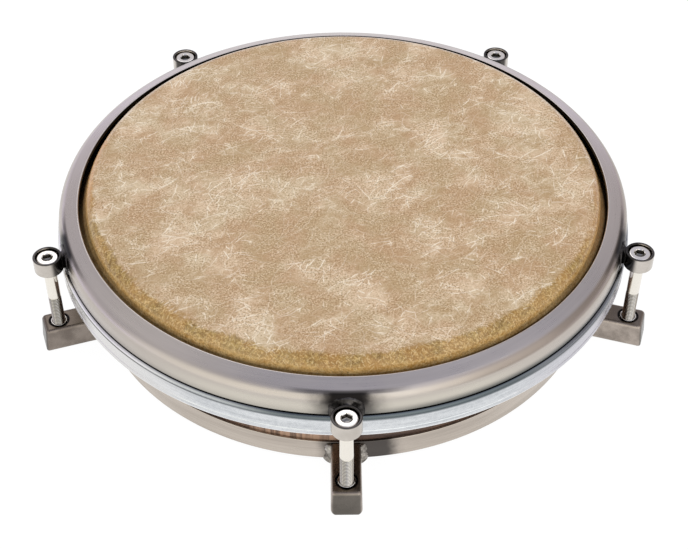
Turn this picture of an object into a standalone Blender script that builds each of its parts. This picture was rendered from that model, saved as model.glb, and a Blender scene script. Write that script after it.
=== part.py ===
"""Travel conga: a shallow hand drum whose head is tuned by five bolts round its rim.

Lengths below are in millimetres and become metres when a mesh is made. +Z is up.
The origin is the centre of the playing surface, on the drum's axis.
The first lug faces -Y, and the others follow it counter-clockwise, seen from above.
"""

import math

import bmesh
import bpy
from mathutils import Matrix, Vector

MM = 0.001
GAP = 0.3
RING_STEPS = 60
BOLT_STEPS = 24
CUTTER_REACH = 1.0
SMOOTH_BELOW = math.radians(35)

# Plan of the drum
SHELL_DIAMETER = 320.8
BOLT_CIRCLE_RADIUS = 190.0
LUG_COUNT = 5

# Head: a film over the bearing edge, crimped into the flesh hoop
FILM_THICKNESS = 0.5
BEARING_ROUND = 5.8
COLLAR_STRAIGHT_END = -8.5
HOOP_INNER_RADIUS = 170.0
HOOP_OUTER_RADIUS = 182.0
HOOP_TOP = -24.0
HOOP_HEIGHT = 15.0
HOOP_CORNER = 2.6
HOOP_EDGE_ROUND = 1.0
HOOP_GROOVE_HEIGHT = -35.1
HOOP_GROOVE_DEPTH = 0.5
CRIMP_RADIUS = 172.4
CRIMP_DEPTH = 9.0

# Rim: sheet steel with a sloping top, a round shoulder and an upright wall
RIM_SHEET = 3.0
RIM_INNER_RADIUS = 166.8
RIM_INNER_TOP = -5.5
RIM_OUTER_RADIUS = 180.1
RIM_SHOULDER_RADIUS = 8.5
RIM_SHOULDER_HEIGHT = -16.4
RIM_EDGE_ROUND = 0.8
RIM_FOOT_ROUND = 1.5

# Eyelets: cups welded to the rim, one for each bolt head
EYELET_RADIUS = 8.9
EYELET_BORE_RADIUS = 7.3
EYELET_TOP = -13.5
EYELET_BOTTOM = -24.2
EYELET_FLOOR = 2.4

# Tuning bolts: M8 with a socket head
BOLT_RADIUS = 4.0
BOLT_HEAD_RADIUS = 6.5
BOLT_HEAD_TOP = -14.6
BOLT_HEAD_HEIGHT = 6.5
BOLT_HEAD_ROUND = 0.7
BOLT_LENGTH = 60.0
BOLT_THREAD_TOP = -46.4
BOLT_THREAD_RADIUS = 3.9
BOLT_POINT = 1.2
SOCKET_WIDTH = 6.0
SOCKET_DEPTH = 3.6
BOLT_HOLE_RADIUS = 4.4

# Shell and the band round its foot
SHELL_WALL = 10.5
SHELL_BOTTOM = -82.0
BEARING_FLAT = 1.6
BEARING_BEVEL = 3.6
FOOT_CHAMFER = 1.0
BAND_SHEET = 1.6
BAND_TOP = -67.8
BAND_HEIGHT = 14.4
BAND_EDGE_ROUND = 0.6

# Lugs: folded brackets, open below, whose front plate leans out and is longer for a foot
LUG_TOP = -68.3
LUG_TOP_WIDTH = 17.4
LUG_TOP_FRONT = 199.8
LUG_FOOT = -85.6
LUG_FOOT_WIDTH = 18.4
LUG_FOOT_FRONT = 201.5
LUG_SIDE_BOTTOM = -84.6
LUG_SHEET = 2.5
LUG_FOOT_SHEET = 2.7
LUG_FOLD_RADIUS = 2.4
LUG_HOLE_RADIUS = 5.7
LUG_SEAT_GAP = 0.5

# Nuts: square blocks that the lug's side walls keep from turning
NUT_WIDTH = 11.6
NUT_HEIGHT = 8.0
NUT_COLLAR_RADIUS = 5.1
NUT_BORE_RADIUS = 4.2
NUT_CORNER = 1.0

FILM_TAN = (0.55, 0.40, 0.26)
WOOD_BROWN = (0.33, 0.19, 0.11)
RIM_NICKEL = (0.45, 0.42, 0.40)
HOOP_SILVER = (0.68, 0.70, 0.73)
BAND_STEEL = (0.40, 0.37, 0.34)
LUG_STEEL = (0.20, 0.18, 0.16)
NUT_ZINC = (0.62, 0.60, 0.56)
BOLT_NICKEL = (0.80, 0.78, 0.74)

SHELL_RADIUS = SHELL_DIAMETER / 2
BEARING_TOP = -FILM_THICKNESS - GAP
BEND_CENTRE = (SHELL_RADIUS - BEARING_ROUND, BEARING_TOP - BEARING_ROUND)
BAND_RADIUS = SHELL_RADIUS + GAP + BAND_SHEET


def clear_scene():
    for leftover in list(bpy.data.objects):
        bpy.data.objects.remove(leftover, do_unlink=True)


def finish_of(name, colour, roughness, metallic):
    """A plain material with the piece's colour, roughness and metallic value."""
    material = bpy.data.materials.new(name)
    material.use_nodes = True
    shader = material.node_tree.nodes["Principled BSDF"]
    shader.inputs["Base Color"].default_value = (*colour, 1.0)
    shader.inputs["Roughness"].default_value = roughness
    shader.inputs["Metallic"].default_value = metallic
    return material


def arc(centre, radius, start, end, count):
    """Points on an arc in a plane, from one angle to another in degrees, both ends included."""
    angles = [math.radians(start + (end - start) * i / (count - 1)) for i in range(count)]
    return [(centre[0] + radius * math.cos(a), centre[1] + radius * math.sin(a)) for a in angles]


def to_mesh(name, shape):
    """Closes a bmesh into a mesh with its faces outward, smooth where it is round."""
    bmesh.ops.recalc_face_normals(shape, faces=shape.faces)
    mesh = bpy.data.meshes.new(name)
    shape.to_mesh(mesh)
    shape.free()
    mesh.shade_smooth()
    mesh.set_sharp_from_angle(angle=SMOOTH_BELOW)
    return mesh


def turned_mesh(name, profile, steps, closed=True):
    """Spins a profile of (radius, height) points about Z, from the side that faces -Y."""
    shape = bmesh.new()
    corners = [shape.verts.new((0.0, -r * MM, z * MM)) for r, z in profile]
    edges = [shape.edges.new(pair) for pair in zip(corners, corners[1:])]
    if closed:
        edges.append(shape.edges.new((corners[-1], corners[0])))
    bmesh.ops.spin(
        shape,
        geom=corners + edges,
        cent=(0, 0, 0),
        axis=(0, 0, 1),
        angle=math.tau,
        steps=steps,
        use_merge=True,
    )
    bmesh.ops.remove_doubles(shape, verts=shape.verts, dist=1e-6)
    return to_mesh(name, shape)


def prism_mesh(name, outline, bottom, top):
    """Extrudes an outline of (x, y) points from one height up to another."""
    shape = bmesh.new()
    base = shape.faces.new([shape.verts.new((x * MM, y * MM, bottom * MM)) for x, y in outline])
    risen = bmesh.ops.extrude_face_region(shape, geom=[base], use_keep_orig=True)
    moved = [item for item in risen["geom"] if isinstance(item, bmesh.types.BMVert)]
    bmesh.ops.translate(shape, vec=(0, 0, (top - bottom) * MM), verts=moved)
    return to_mesh(name, shape)


def cylinder_mesh(name, radius, bottom, top, steps=BOLT_STEPS):
    """An upright prism on a regular outline, with a flat of it facing -Y."""
    turn = 180.0 / steps
    outline = arc((0, 0), radius, turn - 90, turn + 270, steps + 1)[:-1]
    return prism_mesh(name, outline, bottom, top)


def add_object(name, mesh, material=None):
    piece = bpy.data.objects.new(name, mesh)
    bpy.context.scene.collection.objects.link(piece)
    if material:
        mesh.materials.clear()
        mesh.materials.append(material)
    return piece


def carved_mesh(name, base, joined=(), cut=()):
    """The mesh that is left of a base once some meshes are joined to it and others are cut away."""
    body = add_object(name, base)
    tools = []
    for operation, meshes in (("UNION", joined), ("DIFFERENCE", cut)):
        for mesh in meshes:
            tool = add_object(mesh.name, mesh)
            tool.hide_render = True
            tool.display_type = "WIRE"
            step = body.modifiers.new(mesh.name, "BOOLEAN")
            step.operation = operation
            step.object = tool
            tools.append(tool)
    bpy.context.view_layer.update()
    carved = bpy.data.meshes.new_from_object(body.evaluated_get(bpy.context.evaluated_depsgraph_get()))
    for used in [body, *tools]:
        bpy.data.objects.remove(used, do_unlink=True)
    carved.shade_smooth()
    carved.set_sharp_from_angle(angle=SMOOTH_BELOW)
    return carved


def film_profile():
    """Outer surface from the axis to the crimp, then the inner surface back to the axis."""
    centre_radius, centre_height = BEND_CENTRE
    inner_bend = BEARING_ROUND + GAP
    sides = []
    for offset in (FILM_THICKNESS, 0.0):
        bend = arc(BEND_CENTRE, inner_bend + offset, 90, 0, 6)
        wall = centre_radius + inner_bend + offset
        crimp = CRIMP_RADIUS + offset - FILM_THICKNESS / 2
        reach = crimp - wall
        flare_drop = HOOP_TOP - COLLAR_STRAIGHT_END
        flare = [
            (wall + reach * (1 - math.cos(math.pi * t)) / 2, COLLAR_STRAIGHT_END + flare_drop * t)
            for t in (0.0, 0.25, 0.5, 0.75, 1.0)
        ]
        tail = (crimp, HOOP_TOP - CRIMP_DEPTH + GAP)
        sides.append([(0.0, centre_height + inner_bend + offset), *bend, *flare, tail])
    return sides[0] + sides[1][::-1]


def hoop_profile():
    """Outline of the hoop's section, with the groove outside and the crimp slot on top."""
    bottom = HOOP_TOP - HOOP_HEIGHT
    slot = FILM_THICKNESS / 2 + GAP
    corner_centre = (HOOP_OUTER_RADIUS - HOOP_CORNER, HOOP_TOP - HOOP_CORNER)
    return [
        (HOOP_INNER_RADIUS, bottom + HOOP_EDGE_ROUND),
        (HOOP_INNER_RADIUS, HOOP_TOP - HOOP_EDGE_ROUND),
        (HOOP_INNER_RADIUS + HOOP_EDGE_ROUND, HOOP_TOP),
        (CRIMP_RADIUS - slot, HOOP_TOP),
        (CRIMP_RADIUS - slot, HOOP_TOP - CRIMP_DEPTH),
        (CRIMP_RADIUS + slot, HOOP_TOP - CRIMP_DEPTH),
        (CRIMP_RADIUS + slot, HOOP_TOP),
        *arc(corner_centre, HOOP_CORNER, 90, 0, 4),
        (HOOP_OUTER_RADIUS, HOOP_GROOVE_HEIGHT + HOOP_GROOVE_DEPTH),
        (HOOP_OUTER_RADIUS - HOOP_GROOVE_DEPTH, HOOP_GROOVE_HEIGHT),
        (HOOP_OUTER_RADIUS, HOOP_GROOVE_HEIGHT - HOOP_GROOVE_DEPTH),
        (HOOP_OUTER_RADIUS, bottom + HOOP_EDGE_ROUND),
        (HOOP_OUTER_RADIUS - HOOP_EDGE_ROUND, bottom),
        (HOOP_INNER_RADIUS + HOOP_EDGE_ROUND, bottom),
    ]


def rim_slope():
    """Angle in degrees at which the rim's top falls from its inner edge to meet the shoulder's arc."""
    across = RIM_OUTER_RADIUS - RIM_SHOULDER_RADIUS - RIM_INNER_RADIUS
    down = RIM_INNER_TOP - RIM_SHOULDER_HEIGHT
    return math.degrees(math.atan2(down, across) - math.asin(RIM_SHOULDER_RADIUS / math.hypot(across, down)))


def rim_surface(offset, wall_bottom, shoulder_points=5):
    """The rim's outer surface moved out by an offset, from the inner edge to the foot of the wall."""
    centre = (RIM_OUTER_RADIUS - RIM_SHOULDER_RADIUS, RIM_SHOULDER_HEIGHT)
    tilt = math.radians(rim_slope())
    edge_height = RIM_INNER_TOP + offset / math.cos(tilt)
    shoulder = arc(centre, RIM_SHOULDER_RADIUS + offset, 90 - rim_slope(), 0, shoulder_points)
    return [(RIM_INNER_RADIUS, edge_height), *shoulder, (RIM_OUTER_RADIUS + offset, wall_bottom)]


def rim_profile():
    """Outline of the rim's section: the outer surface, and the inner one a sheet's thickness away."""
    foot = HOOP_TOP + GAP
    outside = rim_surface(0.0, foot + RIM_FOOT_ROUND)
    inside = rim_surface(-RIM_SHEET, foot + RIM_EDGE_ROUND, 4)
    slope_drop = RIM_EDGE_ROUND * math.tan(math.radians(rim_slope()))
    outside[:1] = [
        (RIM_INNER_RADIUS, RIM_INNER_TOP - RIM_EDGE_ROUND),
        (RIM_INNER_RADIUS + RIM_EDGE_ROUND, RIM_INNER_TOP - slope_drop),
    ]
    foot_centre = (RIM_OUTER_RADIUS - RIM_FOOT_ROUND, foot + RIM_FOOT_ROUND)
    foot_edge = [
        *arc(foot_centre, RIM_FOOT_ROUND, -45, -90, 2),
        (RIM_OUTER_RADIUS - RIM_SHEET + RIM_EDGE_ROUND, foot),
    ]
    return outside + foot_edge + inside[::-1]


def shell_profile():
    """Outline of the shell's wall, with the bearing edge round outside and bevelled inside."""
    inner = SHELL_RADIUS - SHELL_WALL
    flat_end = BEND_CENTRE[0] - BEARING_FLAT
    return [
        (inner, SHELL_BOTTOM + FOOT_CHAMFER),
        (inner, BEARING_TOP - BEARING_BEVEL),
        (flat_end, BEARING_TOP),
        *arc(BEND_CENTRE, BEARING_ROUND, 90, 0, 4),
        (SHELL_RADIUS, SHELL_BOTTOM + FOOT_CHAMFER),
        (SHELL_RADIUS - FOOT_CHAMFER, SHELL_BOTTOM),
        (inner + FOOT_CHAMFER, SHELL_BOTTOM),
    ]


def band_profile():
    """Outline of the band's section: a flat strip with broken edges."""
    inner = SHELL_RADIUS + GAP
    bottom = BAND_TOP - BAND_HEIGHT
    return [
        (inner, bottom),
        (inner, BAND_TOP),
        (BAND_RADIUS - BAND_EDGE_ROUND, BAND_TOP),
        (BAND_RADIUS, BAND_TOP - BAND_EDGE_ROUND),
        (BAND_RADIUS, bottom + BAND_EDGE_ROUND),
        (BAND_RADIUS - BAND_EDGE_ROUND, bottom),
    ]


def eyelet_mesh():
    """A cup for the bolt head, about its bolt's axis, with a neck that ends just off the rim."""
    rim_distance = BOLT_CIRCLE_RADIUS - RIM_OUTER_RADIUS + RIM_SHOULDER_RADIUS
    outline = [
        (-EYELET_RADIUS, rim_distance),
        *arc((0, 0), EYELET_RADIUS, 180, 360, 17),
        (EYELET_RADIUS, rim_distance),
    ]
    base = prism_mesh("eyelet_block", outline, EYELET_BOTTOM, EYELET_TOP)
    bore = cylinder_mesh("eyelet_bore", EYELET_BORE_RADIUS, EYELET_BOTTOM + EYELET_FLOOR, 0)
    hole = cylinder_mesh("eyelet_hole", BOLT_HOLE_RADIUS, EYELET_BOTTOM - CUTTER_REACH, 0)
    inner_side = RIM_INNER_RADIUS - RIM_SHEET
    below = EYELET_BOTTOM - CUTTER_REACH
    seat = [(inner_side, RIM_INNER_TOP), *rim_surface(GAP, below), (inner_side, below)]
    rim_seat = turned_mesh("rim_seat", seat, RING_STEPS)
    rim_seat.transform(Matrix.Translation((0, BOLT_CIRCLE_RADIUS * MM, 0)))
    return carved_mesh("eyelet", base, cut=(bore, hole, rim_seat))


def bolt_mesh():
    """A socket cap screw about its own axis, with the thread's length a little slimmer."""
    seat = BOLT_HEAD_TOP - BOLT_HEAD_HEIGHT
    tip = seat - BOLT_LENGTH
    profile = [
        (0.0, BOLT_HEAD_TOP),
        (BOLT_HEAD_RADIUS - BOLT_HEAD_ROUND, BOLT_HEAD_TOP),
        (BOLT_HEAD_RADIUS, BOLT_HEAD_TOP - BOLT_HEAD_ROUND),
        (BOLT_HEAD_RADIUS, seat),
        (BOLT_RADIUS, seat),
        (BOLT_RADIUS, BOLT_THREAD_TOP),
        (BOLT_THREAD_RADIUS, BOLT_THREAD_TOP - BOLT_RADIUS + BOLT_THREAD_RADIUS),
        (BOLT_THREAD_RADIUS, tip + BOLT_POINT),
        (BOLT_THREAD_RADIUS - BOLT_POINT, tip),
        (0.0, tip),
    ]
    base = turned_mesh("bolt_blank", profile, BOLT_STEPS, closed=False)
    corner_radius = SOCKET_WIDTH / math.sqrt(3)
    socket = cylinder_mesh("bolt_socket", corner_radius, BOLT_HEAD_TOP - SOCKET_DEPTH, 0, steps=6)
    return carved_mesh("tuning_bolt", base, cut=(socket,))


def bracket_block(top, foot):
    """A block on the -Y side, in to the shell, between two levels of (half width, front, height)."""
    shape = bmesh.new()
    back = SHELL_RADIUS - SHELL_WALL
    levels = []
    for half, front, height in (foot, top):
        corners = [(-half, -front), (half, -front), (half, -back), (-half, -back)]
        levels.append([shape.verts.new((x * MM, y * MM, height * MM)) for x, y in corners])
    below, above = levels
    shape.faces.new(below[::-1])
    shape.faces.new(above)
    for i in range(4):
        j = (i + 1) % 4
        shape.faces.new((below[i], below[j], above[j], above[i]))
    return shape, below, above


def lug_mesh():
    """A folded bracket: a block with its folds rounded, hollowed from below and seated round the band."""
    top = (LUG_TOP_WIDTH / 2, LUG_TOP_FRONT, LUG_TOP)
    foot = (LUG_FOOT_WIDTH / 2, LUG_FOOT_FRONT, LUG_FOOT)
    shape, below, above = bracket_block(top, foot)
    folds = [(above[0], above[1]), (above[1], above[2]), (above[3], above[0])]
    folds += [(below[i], above[i]) for i in (0, 1)] + [(below[1], below[2]), (below[3], below[0])]
    bmesh.ops.bevel(
        shape,
        geom=[shape.edges.get(pair) for pair in folds],
        offset=LUG_FOLD_RADIUS * MM,
        segments=3,
        profile=0.5,
        affect="EDGES",
    )
    base = to_mesh("lug_blank", shape)

    under = LUG_FOOT - CUTTER_REACH
    lean = (LUG_FOOT_FRONT - LUG_TOP_FRONT) / (LUG_TOP - LUG_FOOT)
    flare = (LUG_FOOT_WIDTH - LUG_TOP_WIDTH) / 2 / (LUG_TOP - LUG_FOOT)
    hollow_height = LUG_TOP - LUG_SHEET
    hollow_half = LUG_TOP_WIDTH / 2 - LUG_SHEET
    hollow_front = LUG_TOP_FRONT - LUG_SHEET
    drop = hollow_height - under
    hollow_top = (hollow_half, hollow_front, hollow_height)
    hollow_foot = (hollow_half + flare * drop, hollow_front + lean * drop, under)
    relief_front = LUG_FOOT_FRONT - LUG_FOOT_SHEET
    relief_top = (LUG_FOOT_WIDTH, relief_front, LUG_SIDE_BOTTOM)
    relief_foot = (LUG_FOOT_WIDTH, relief_front, under)
    hollow = to_mesh("lug_hollow", bracket_block(hollow_top, hollow_foot)[0])
    relief = to_mesh("lug_relief", bracket_block(relief_top, relief_foot)[0])
    hole = cylinder_mesh("lug_hole", LUG_HOLE_RADIUS, hollow_height - CUTTER_REACH, LUG_TOP + CUTTER_REACH)
    hole.transform(Matrix.Translation((0, -BOLT_CIRCLE_RADIUS * MM, 0)))
    seat = cylinder_mesh("lug_seat", BAND_RADIUS + LUG_SEAT_GAP, under, LUG_TOP + CUTTER_REACH, RING_STEPS)
    return carved_mesh("lug", base, cut=(hollow, relief, hole, seat))


def nut_mesh():
    """A square nut about its bolt's axis, with a round collar up through the lug's hole."""
    top = LUG_TOP - LUG_SHEET - GAP
    half = NUT_WIDTH / 2
    inset = half - NUT_CORNER
    outline = [
        (inset, -half),
        (half, -inset),
        (half, inset),
        (inset, half),
        (-inset, half),
        (-half, inset),
        (-half, -inset),
        (-inset, -half),
    ]
    bottom = top - NUT_HEIGHT
    block = prism_mesh("nut_block", outline, bottom, top)
    collar = cylinder_mesh("nut_collar", NUT_COLLAR_RADIUS, top - CUTTER_REACH, LUG_TOP - GAP)
    bore = cylinder_mesh("nut_bore", NUT_BORE_RADIUS, bottom - CUTTER_REACH, LUG_TOP + CUTTER_REACH)
    return carved_mesh("lug_nut", block, joined=(collar,), cut=(bore,))


def add_ring(name, profile, material, parent=None, closed=True):
    piece = add_object(name, turned_mesh(name, profile, RING_STEPS, closed), material)
    piece.parent = parent
    return piece


def add_round_the_drum(name, mesh, material, centre_radius=0.0, parent=None):
    """One copy of a -Y mesh for each lug, with its origin at a distance from the drum's axis."""
    mesh.materials.clear()
    mesh.materials.append(material)
    for index in range(LUG_COUNT):
        angle = math.tau * index / LUG_COUNT
        piece = add_object(f"{name}_{index + 1}", mesh)
        piece.location = Matrix.Rotation(angle, 3, "Z") @ Vector((0, -centre_radius * MM, 0))
        piece.rotation_euler.z = angle
        piece.parent = parent


def main():
    clear_scene()
    nickel = finish_of("rim_nickel", RIM_NICKEL, 0.38, 1.0)

    add_ring("wood_shell", shell_profile(), finish_of("shell_wood", WOOD_BROWN, 0.6, 0.0))
    add_ring("shell_band", band_profile(), finish_of("band_steel", BAND_STEEL, 0.42, 1.0))
    add_round_the_drum("lug", lug_mesh(), finish_of("lug_steel", LUG_STEEL, 0.45, 1.0))
    add_round_the_drum(
        "lug_nut", nut_mesh(), finish_of("nut_zinc", NUT_ZINC, 0.35, 1.0), BOLT_CIRCLE_RADIUS
    )
    add_ring("head_film", film_profile(), finish_of("film", FILM_TAN, 0.55, 0.0), closed=False)

    rim_travel = bpy.data.objects.new("rim_travel", None)
    bpy.context.scene.collection.objects.link(rim_travel)
    add_ring("flesh_hoop", hoop_profile(), finish_of("hoop_silver", HOOP_SILVER, 0.35, 1.0), rim_travel)
    add_ring("rim", rim_profile(), nickel, rim_travel)
    add_round_the_drum("eyelet", eyelet_mesh(), nickel, BOLT_CIRCLE_RADIUS, rim_travel)
    add_round_the_drum(
        "tuning_bolt",
        bolt_mesh(),
        finish_of("bolt_nickel", BOLT_NICKEL, 0.2, 1.0),
        BOLT_CIRCLE_RADIUS,
        rim_travel,
    )


main()
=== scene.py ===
"""Looks of the travel conga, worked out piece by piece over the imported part.

Lengths are in millimetres until a mesh is made, and in metres in the finishes, lamps and camera. +Z is
up, the origin is the centre of the playing surface, and left and right are as seen from -Y, which is the
front. A repeated piece is made in front and turned round the drum to its lug.
"""

import math

import bpy
import numpy as np
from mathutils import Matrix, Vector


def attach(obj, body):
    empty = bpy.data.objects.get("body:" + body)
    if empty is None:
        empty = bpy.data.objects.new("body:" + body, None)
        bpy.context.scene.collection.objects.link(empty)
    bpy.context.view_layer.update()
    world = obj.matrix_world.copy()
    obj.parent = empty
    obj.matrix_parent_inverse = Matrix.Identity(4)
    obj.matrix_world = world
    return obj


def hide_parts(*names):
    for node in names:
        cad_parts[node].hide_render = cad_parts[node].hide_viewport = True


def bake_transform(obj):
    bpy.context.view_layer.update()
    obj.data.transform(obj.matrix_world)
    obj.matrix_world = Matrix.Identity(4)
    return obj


# Sizes that more than one piece or finish uses, or that shape a piece most

MM = 0.001
LUG_COUNT = 5
BOLT_CIRCLE = 190.0
FLOOR_HEIGHT = -85.6

FILM_THICKNESS = 0.5
FLAT_RADIUS = 154.6
BEND_ROUND = 7.4
FLARE_TOP = -8.5
FLARE_DROP = 15.5
CRIMP_RADIUS = 172.15
CRIMP_TOP = -28.0
CRIMP_BOTTOM = -32.7

RIM_OUTSIDE = 180.1
SHOULDER_ROUND = 8.5
SHOULDER_LOW = -16.4

CUP_OUTSIDE = 8.9
CUP_INSIDE = 7.3

THREAD_TOP = -46.2
THREAD_PITCH = 1.25

SHELL_INSIDE = 149.9
BAND_OUTSIDE = 162.3
LUG_TOP = -68.3
LUG_SHEET = 2.5
LUG_WIDENING = 0.0033
LUG_LEAN = 0.0983

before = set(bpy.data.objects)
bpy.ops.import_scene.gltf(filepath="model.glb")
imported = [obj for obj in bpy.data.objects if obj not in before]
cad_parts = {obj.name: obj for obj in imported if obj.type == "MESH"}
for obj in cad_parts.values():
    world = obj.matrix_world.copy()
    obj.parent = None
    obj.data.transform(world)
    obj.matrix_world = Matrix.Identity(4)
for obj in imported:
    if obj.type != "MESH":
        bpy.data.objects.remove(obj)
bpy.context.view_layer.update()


# Surfaces


def rounded(corners, radii, steps=6, hold=0.12):
    """A closed outline with a round at every corner.

    Both sides of a corner are cut back by the radius times the tangent of half the turn, and an arc
    joins them. A point just before and just after each arc keeps the straight sides flat in shading.
    """
    corner = np.asarray(corners, float)
    radius = np.asarray(radii, float)[:, None]
    into = corner - np.roll(corner, 1, axis=0)
    into /= np.linalg.norm(into, axis=1, keepdims=True)
    out = np.roll(into, -1, axis=0)
    turn = np.arctan2(into[:, 0] * out[:, 1] - into[:, 1] * out[:, 0], (into * out).sum(axis=1))
    turn = turn[:, None]
    reach = radius * np.tan(np.abs(turn) / 2)
    start = corner - into * reach
    centre = start + np.sign(turn) * radius * np.stack([-into[:, 1], into[:, 0]], axis=1)
    arm_x, arm_y = (start - centre).T[..., None]
    angle = turn * np.linspace(0, 1, steps + 1)
    arc_x = arm_x * np.cos(angle) - arm_y * np.sin(angle)
    arc_y = arm_x * np.sin(angle) + arm_y * np.cos(angle)
    arc = centre[:, None] + np.stack([arc_x, arc_y], axis=-1)
    before = start - into * hold
    after = corner + out * (reach + hold)
    return np.concatenate([before[:, None], arc, after[:, None]], axis=1).reshape(-1, 2)


def skin(rows, start=None, end=None):
    """Points and faces of a grid whose columns close on themselves.

    Each face joins a point to its neighbours in the next column and the next row. The first and last
    rows are joined to each other, or each is closed by a "point" at its middle or by one "flat" face.
    """
    rows = np.asarray(rows, float)
    count, around = rows.shape[:2]
    points = rows.reshape(-1, 3)
    here = np.arange(count * around).reshape(count, around)
    beside = np.roll(here, -1, axis=1)
    ring = np.stack([here, beside, np.roll(beside, -1, axis=0), np.roll(here, -1, axis=0)], axis=-1)
    faces = [(ring if start is None else ring[:-1]).reshape(-1, 4)]
    for close, row, flip in ((start, 0, True), (end, -1, False)):
        edge, following = here[row], beside[row]
        if close == "flat":
            faces.append((edge[::-1] if flip else edge)[None])
        elif close == "point":
            tip = np.full(around, len(points))
            points = np.concatenate([points, rows[row].mean(axis=0)[None]])
            faces.append(np.stack([tip, following, edge] if flip else [edge, following, tip], axis=1))
    return points, faces


def turned(section, steps, start=None, end=None):
    """A section of (radius, height) points carried round Z, by the sine and cosine of an angle.

    A closed section is taken counter-clockwise, so that the faces point away from the metal.
    """
    radius, height = np.asarray(section, float).T
    if start is None and (radius * (np.roll(height, -1) - np.roll(height, 1))).sum() < 0:
        radius, height = radius[::-1], height[::-1]
    angle = np.linspace(0, math.tau, steps, endpoint=False)
    x = radius[:, None] * np.cos(angle)
    y = radius[:, None] * np.sin(angle)
    return skin(np.stack([x, y, np.broadcast_to(height[:, None], x.shape)], axis=-1), start, end)


def round_the_drum(shell, number, radius=0.0):
    """A shell moved out along -Y by a radius and turned about Z to the lug of that number."""
    points, faces = shell
    angle = math.tau * (number - 1) / LUG_COUNT
    x, y, z = (points - (0.0, radius, 0.0)).T
    cos, sin = math.cos(angle), math.sin(angle)
    return np.stack([x * cos - y * sin, x * sin + y * cos, z], axis=-1), faces


def mesh_of(name, shells, smooth_below=40):
    """One mesh of one or more shells, in metres, smooth but for edges sharper than an angle in degrees."""
    points = np.concatenate([shell_points for shell_points, _ in shells])
    faces = []
    first = 0
    for shell_points, blocks in shells:
        for block in blocks:
            faces += (block + first).tolist()
        first += len(shell_points)
    mesh = bpy.data.meshes.new(name)
    mesh.from_pydata((points * MM).tolist(), [], faces)
    mesh.shade_smooth()
    mesh.set_sharp_from_angle(angle=math.radians(smooth_below))
    return mesh


def add_object(name, content):
    """A new object in the scene, of a mesh, a lamp or a camera."""
    thing = bpy.data.objects.new(name, content)
    bpy.context.scene.collection.objects.link(thing)
    return thing


def add_piece(name, shells, finish, body=None, node=None, smooth_below=40):
    """Puts shells into the scene as one piece, in its finish, on its body and in its node's stead."""
    mesh = mesh_of(name, shells, smooth_below)
    mesh.materials.append(finish)
    piece = add_object(name, mesh)
    if body:
        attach(piece, body)
    if node:
        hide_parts(node)
    return piece


def waves(along, across, seed, octaves=4):
    """Smooth unevenness between about -1 and 1.

    It adds sines along, times cosines across, of rising pitch and falling height, each at its own
    seeded slant and phases.
    """
    rng = np.random.default_rng(seed)
    total = np.zeros(np.broadcast(along, across).shape)
    for octave in range(octaves):
        pitch = 1.7**octave
        slant, phase, second = rng.uniform(0, math.tau, 3)
        wave = np.sin(pitch * along + 1.3 * math.cos(slant) * pitch * across + phase)
        wave = wave * np.cos(pitch * across * math.sin(slant) * 1.1 + second)
        total = total + wave / (octave + 1)
    return total / 1.6


# Head: film, flesh hoop and rim


def film_shell():
    """The film's outer face from its middle to the crimp, then its inner face back.

    Flat over the drum, a quarter circle over the bearing edge, a flare that goes out by half a cosine
    wave, and a straight tail down into the hoop.
    """
    sides = []
    for offset in (FILM_THICKNESS, 0.0):
        across = np.linspace(3, FLAT_RADIUS - 0.3, 34)
        flat = np.stack([across, np.full_like(across, offset - FILM_THICKNESS)], axis=1)
        bend = np.linspace(math.pi / 2, 0, 17)
        bend_round = BEND_ROUND + offset
        bend_height = bend_round * np.sin(bend) - (BEND_ROUND + FILM_THICKNESS)
        over = np.stack([FLAT_RADIUS + bend_round * np.cos(bend), bend_height], axis=1)
        wall = FLAT_RADIUS + bend_round
        crimp = CRIMP_RADIUS + offset
        share = np.linspace(0, 1, 29)
        flare_radius = wall + (crimp - wall) * (1 - np.cos(math.pi * share)) / 2
        flare = np.stack([flare_radius, FLARE_TOP - FLARE_DROP * share], axis=1)
        tail = np.array([[crimp, CRIMP_TOP], [crimp, CRIMP_BOTTOM]])
        sides.append(np.concatenate([flat, over, flare, tail]))
    section = np.concatenate([sides[0], sides[1][::-1]])[::-1]
    return turned(section, 360, start="point", end="point")


def hoop_shell():
    """The flesh hoop's section: a rounded bar, grooved low on its outside, with the crimp's slot on top."""
    inside, outside = 170, 182
    bottom, top = -39, -24
    groove, groove_depth = -35.1, 0.5
    slot_inside, slot_outside, slot_bottom = 171.85, 172.95, -33
    corners = [(inside, bottom), (outside, bottom), (outside, groove - groove_depth)]
    corners += [(outside - groove_depth, groove), (outside, groove + groove_depth), (outside, top)]
    corners += [(slot_outside, top), (slot_outside, slot_bottom), (slot_inside, slot_bottom)]
    corners += [(slot_inside, top), (inside, top)]
    radii = [1.0, 1.0, 0.3, 0.3, 0.3, 2.6, 0.25, 0.2, 0.2, 0.25, 0.6]
    return turned(rounded(corners, radii, steps=8, hold=0.08), 480)


def rim_shell():
    """The rim's section: sheet that slopes down from its inner edge, goes round the shoulder and drops.

    Under the slope the sheet's thickness is measured upright, so it is longer by the slope's length over
    its width.
    """
    edge, edge_top, foot = 166.8, -5.5, -23.7
    sheet, fall = 3.0, 5.026
    inside = RIM_OUTSIDE - sheet
    slope = fall / (RIM_OUTSIDE - edge)
    edge_under = edge_top - sheet * math.hypot(1, slope)
    corners = [(inside, foot), (RIM_OUTSIDE, foot), (RIM_OUTSIDE, edge_top - fall), (edge, edge_top)]
    corners += [(edge, edge_under), (inside, edge_under - slope * (inside - edge))]
    return turned(rounded(corners, [0.8, 0.6, SHOULDER_ROUND, 0.9, 0.9, 5.5], steps=14), 480)


# Eyelets, their welds and the tuning bolts


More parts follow.
